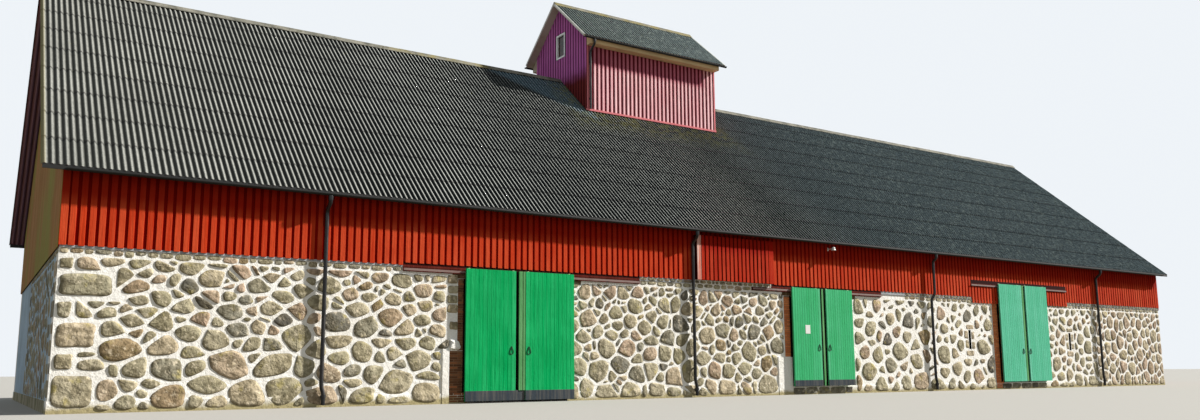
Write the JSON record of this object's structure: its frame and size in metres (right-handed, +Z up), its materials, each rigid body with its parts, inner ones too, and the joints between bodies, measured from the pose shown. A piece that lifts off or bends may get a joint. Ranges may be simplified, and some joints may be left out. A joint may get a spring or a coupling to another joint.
{
  "type": "fieldstone and timber barn, 1:2 scale model",
  "caption": "Long barn with a fieldstone ground storey, red board walls above, a steep corrugated roof with a ridge cupola, and pairs of sliding doors.",
  "frame": {"origin": "middle of the footprint at ground level", "axes": "+X along the front wall to the right, +Y from the front to the back, +Z up"},
  "size_m": [24.6, 8.076, 7.917],
  "materials": {
    "concrete": "rough cast",
    "fieldstone": "rounded fieldstones in thick white mortar",
    "brick": "bare brick",
    "bare_timber": "sawn, aged",
    "red_board": "red distemper on rough boards",
    "hatch_board": "worn red paint",
    "green_board": "satin paint on tongued boards",
    "dark_steel": "matt",
    "fibre_cement": "weathered corrugated sheet",
    "ridge_cement": "weathered, with yellow lichen",
    "cupola_red": "ribbed sheet, chalked",
    "white_paint": "satin",
    "pane": "clear",
    "cream_paint": "satin",
    "dark_sheet": "matt",
    "grey_sheet": "satin",
    "white_enamel": "gloss"
  },
  "bodies": {
    "barn": {"front_footing": "concrete", "back_footing": "concrete", "gable_footings": "concrete", "front_stone_wall_1": "fieldstone", "front_stone_wall_2": "fieldstone", "front_stone_wall_3": "fieldstone", "front_stone_wall_4": "fieldstone", "back_stone_wall": "fieldstone", "gable_stone_walls": "fieldstone", "brick_jambs": "brick", "door_lintels": "bare_timber", "front_timber_wall": "red_board", "front_timber_heads": "red_board", "back_timber_wall": "red_board", "left_gable_wall": "red_board", "right_gable_wall": "red_board", "loft_hatch": "hatch_board", "rail_boards": "red_board", "door_rails": "dark_steel", "posts": "bare_timber", "tie_beams": "bare_timber", "loft_floor": "bare_timber", "wall_plates": "bare_timber", "rafters": "bare_timber", "purlins": "bare_timber", "roof_left": "fibre_cement", "roof_below_cupola": "fibre_cement", "roof_right": "fibre_cement", "ridge_caps": "ridge_cement", "cupola_side_walls": "cupola_red", "cupola_gable_walls": "cupola_red", "cupola_windows": "white_paint", "cupola_panes": "pane", "cupola_eaves": "cream_paint", "cupola_barge_boards": "white_paint", "cupola_roof": "dark_sheet", "gutters": "grey_sheet", "downpipes": "dark_steel", "yard_lamp": "white_enamel"},
    "door_1_left": {"door_1_left_leaf": "green_board"},
    "door_1_right": {"door_1_right_leaf": "green_board"},
    "door_2_left": {"door_2_left_leaf": "green_board"},
    "door_2_right": {"door_2_right_leaf": "green_board"},
    "door_3_left": {"door_3_left_leaf": "green_board"},
    "door_3_right": {"door_3_right_leaf": "green_board"}
  },
  "joints": [
    {"name": "door_1_left_slide", "type": "slide", "parent": "barn", "child": "door_1_left", "axis": [-1, 0, 0], "range_m": [0, 0.8]},
    {"name": "door_1_right_slide", "type": "slide", "parent": "barn", "child": "door_1_right", "axis": [1, 0, 0], "range_m": [0, 0.8]},
    {"name": "door_2_left_slide", "type": "slide", "parent": "barn", "child": "door_2_left", "axis": [-1, 0, 0], "range_m": [0, 0.68]},
    {"name": "door_2_right_slide", "type": "slide", "parent": "barn", "child": "door_2_right", "axis": [1, 0, 0], "range_m": [0, 0.68]},
    {"name": "door_3_left_slide", "type": "slide", "parent": "barn", "child": "door_3_left", "axis": [-1, 0, 0], "range_m": [0, 0.78]},
    {"name": "door_3_right_slide", "type": "slide", "parent": "barn", "child": "door_3_right", "axis": [1, 0, 0], "range_m": [0, 0.78]}
  ]
}
